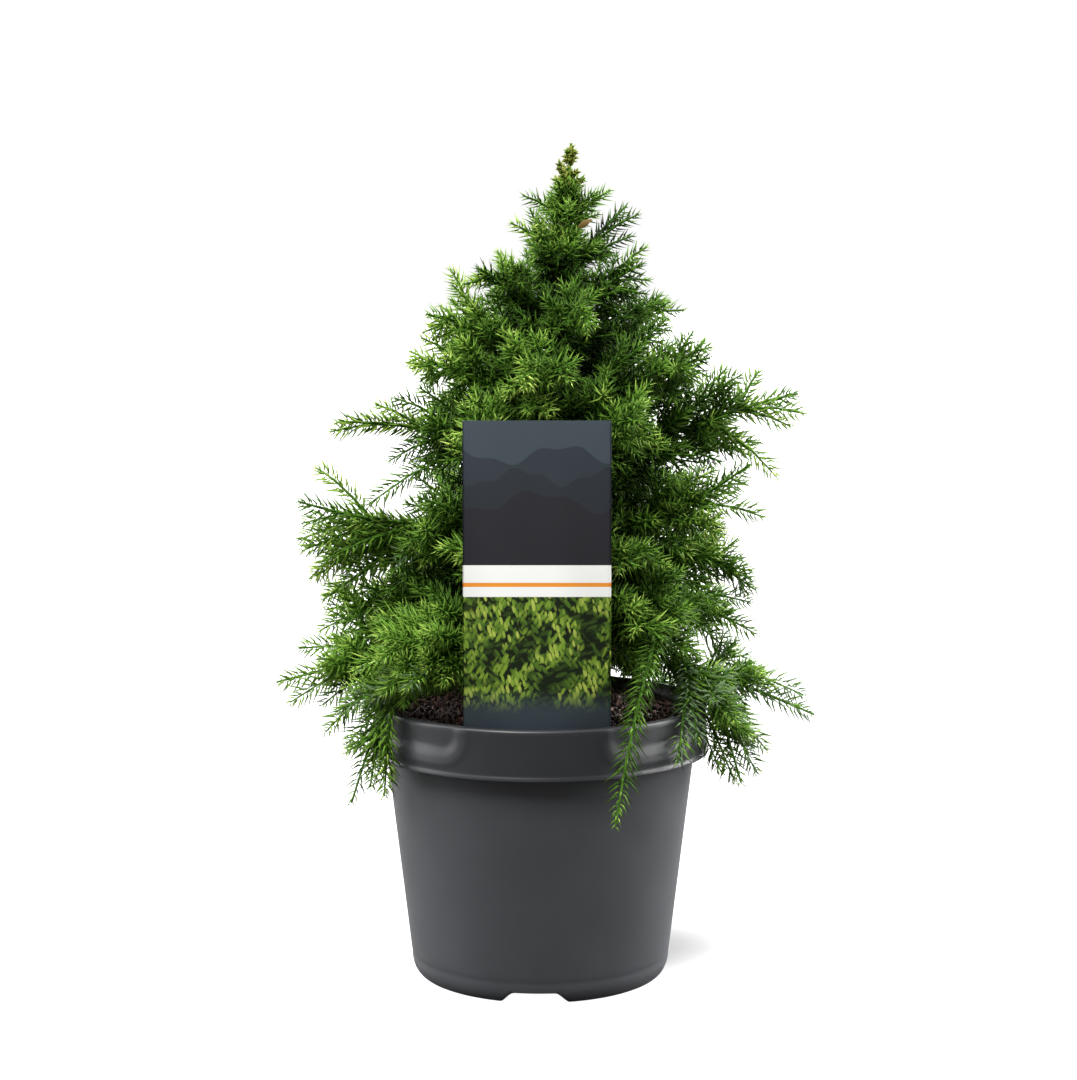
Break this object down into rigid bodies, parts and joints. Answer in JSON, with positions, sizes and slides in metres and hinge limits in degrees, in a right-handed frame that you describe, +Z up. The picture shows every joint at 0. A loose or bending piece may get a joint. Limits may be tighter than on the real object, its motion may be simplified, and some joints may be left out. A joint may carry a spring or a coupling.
{
  "type": "potted cryptomeria",
  "caption": "Young dwarf Japanese cedar with drooping, needle-clad boughs round an upright trunk, growing in a round plastic nursery pot of soil with a card label on a peg.",
  "frame": {"origin": "middle of the pot's flat underside", "axes": "+Z up along the trunk, -Y the front with the plant label, +X to the right seen from the front"},
  "size_m": [0.3067, 0.2441, 0.469],
  "materials": {
    "pot": "satin dark grey injection-moulded plastic",
    "soil": "dark brown crumbly peat and bark",
    "label": "semi-gloss printed plastic card",
    "bark": "rough reddish-brown bark in thin strips",
    "foliage": "fresh green needles, brighter at the shoot tips"
  },
  "bodies": {
    "root": {"pot": "pot", "potting_soil": "soil", "plant_label": "label", "trunk": "bark", "bough_drape_1": "bark", "bough_drape_2": "bark", "bough_drape_3": "bark", "bough_drape_4": "bark", "bough_drape_5": "bark", "bough_skirt_1": "bark", "bough_skirt_2": "bark", "bough_skirt_3": "bark", "bough_skirt_4": "bark", "foliage_drape_1": "foliage", "foliage_drape_2": "foliage", "foliage_drape_3": "foliage", "foliage_drape_4": "foliage", "foliage_drape_5": "foliage", "foliage_skirt_1": "foliage", "foliage_skirt_2": "foliage", "foliage_skirt_3": "foliage", "foliage_skirt_4": "foliage", "foliage_low_1": "foliage", "foliage_low_2": "foliage", "foliage_low_3": "foliage", "foliage_low_4": "foliage", "foliage_low_5": "foliage", "foliage_wide_1": "foliage", "foliage_wide_2": "foliage", "foliage_wide_3": "foliage", "foliage_wide_4": "foliage", "foliage_wide_5": "foliage", "foliage_wide_6": "foliage", "foliage_broad_1": "foliage", "foliage_broad_2": "foliage", "foliage_broad_3": "foliage", "foliage_broad_4": "foliage", "foliage_broad_5": "foliage", "foliage_middle_1": "foliage", "foliage_middle_2": "foliage", "foliage_middle_3": "foliage", "foliage_middle_4": "foliage", "foliage_middle_5": "foliage", "foliage_middle_6": "foliage", "foliage_shoulder_1": "foliage", "foliage_shoulder_2": "foliage", "foliage_shoulder_3": "foliage", "foliage_shoulder_4": "foliage", "foliage_shoulder_5": "foliage", "foliage_upper_1": "foliage", "foliage_upper_2": "foliage", "foliage_upper_3": "foliage", "foliage_upper_4": "foliage", "foliage_crown_1": "foliage", "foliage_crown_2": "foliage", "foliage_crown_3": "foliage", "foliage_spire_1": "foliage", "foliage_spire_2": "foliage", "foliage_spire_3": "foliage", "foliage_leader": "foliage"}
  },
  "joints": []
}
